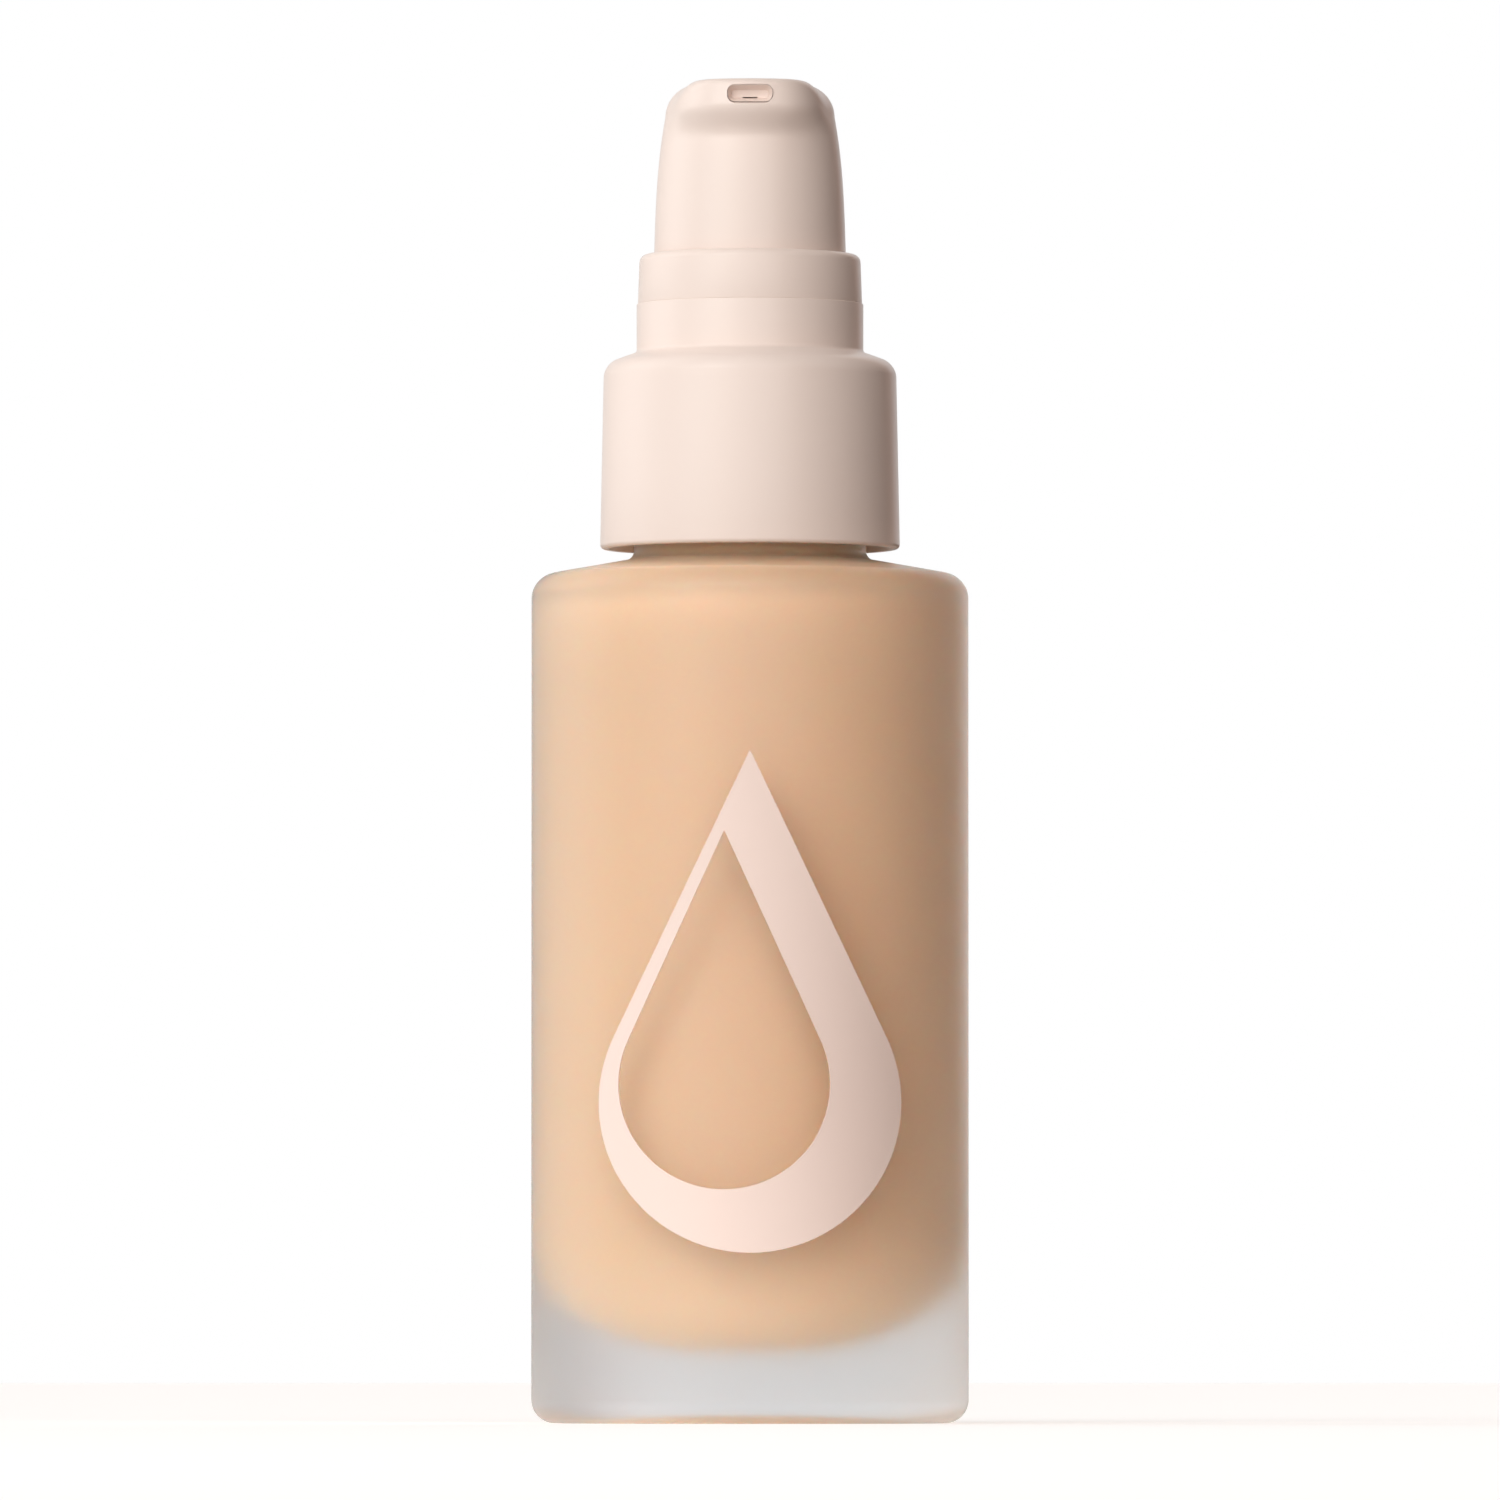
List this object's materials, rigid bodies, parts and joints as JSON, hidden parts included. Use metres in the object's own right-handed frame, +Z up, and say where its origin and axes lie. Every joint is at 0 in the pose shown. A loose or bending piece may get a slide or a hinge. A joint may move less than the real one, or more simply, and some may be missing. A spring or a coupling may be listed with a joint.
{
  "type": "foundation bottle with treatment pump",
  "caption": "Frosted heavy-base glass bottle of liquid foundation, with a screw-on collar and a push-down treatment pump.",
  "frame": {"origin": "centre of the base, on the surface the bottle stands on", "axes": "+Z up along the bottle's axis, -Y towards the nozzle and the printed emblem"},
  "size_m": [0.0352, 0.0353, 0.1079],
  "materials": {
    "frosted_glass": "clear glass, etched satin outside",
    "foundation": "opaque beige liquid",
    "pale_ink": "raised satin screen print",
    "blush_plastic": "satin-gloss moulded plastic",
    "natural_plastic": "natural moulded plastic",
    "clear_tube": "translucent extruded tube",
    "gasket": "soft white foam",
    "ball_steel": "polished steel",
    "spring_steel": "drawn steel wire"
  },
  "bodies": {
    "bottle": {"glass_bottle": "frosted_glass", "foundation_fill": "foundation", "printed_emblem": "pale_ink"},
    "pump": {"pump_housing": "natural_plastic", "housing_cap": "natural_plastic", "stem_wiper": "gasket", "neck_gasket": "gasket", "dip_tube": "clear_tube", "spring_seat": "natural_plastic", "return_spring": "spring_steel"},
    "closure": {"screw_closure": "natural_plastic", "outer_collar": "blush_plastic", "guide_ring": "blush_plastic"},
    "stem": {"stem": "natural_plastic", "piston_rod": "natural_plastic"},
    "piston": {"piston": "natural_plastic"},
    "head": {"actuator_core": "natural_plastic", "actuator_shell": "blush_plastic", "nozzle_insert": "blush_plastic"},
    "inlet_ball": {"inlet_ball": "ball_steel"}
  },
  "joints": [
    {"name": "closure_turn", "type": "hinge", "parent": "pump", "child": "closure", "pos_m": [0, 0, 0.078], "axis": [0, 0, 1], "range_deg": [0, 450]},
    {"name": "pump_rise", "type": "slide", "parent": "bottle", "child": "pump", "axis": [0, 0, 1], "range_m": [0, 0.004]},
    {"name": "pump_stroke", "type": "slide", "parent": "pump", "child": "stem", "axis": [0, 0, -1], "range_m": [0, 0.005], "stiffness_N_per_m": 1500, "springref_m": -0.004, "deforming": ["return_spring"]},
    {"name": "piston_slide", "type": "slide", "parent": "pump", "child": "piston", "axis": [0, 0, -1], "range_m": [0, 0.0042]},
    {"name": "head_turn", "type": "hinge", "parent": "stem", "child": "head", "pos_m": [0, 0, 0.095], "axis": [0, 0, 1], "continuous": true},
    {"name": "ball_lift", "type": "slide", "parent": "pump", "child": "inlet_ball", "axis": [0, 0, 1], "range_m": [0, 0.0009]}
  ],
  "couplings": [
    {"joint": "pump_rise", "follows": "closure_turn", "m_per_rad": 0.00050532},
    {"joint": "piston_slide", "follows": "pump_stroke", "ratio": 0.84}
  ]
}
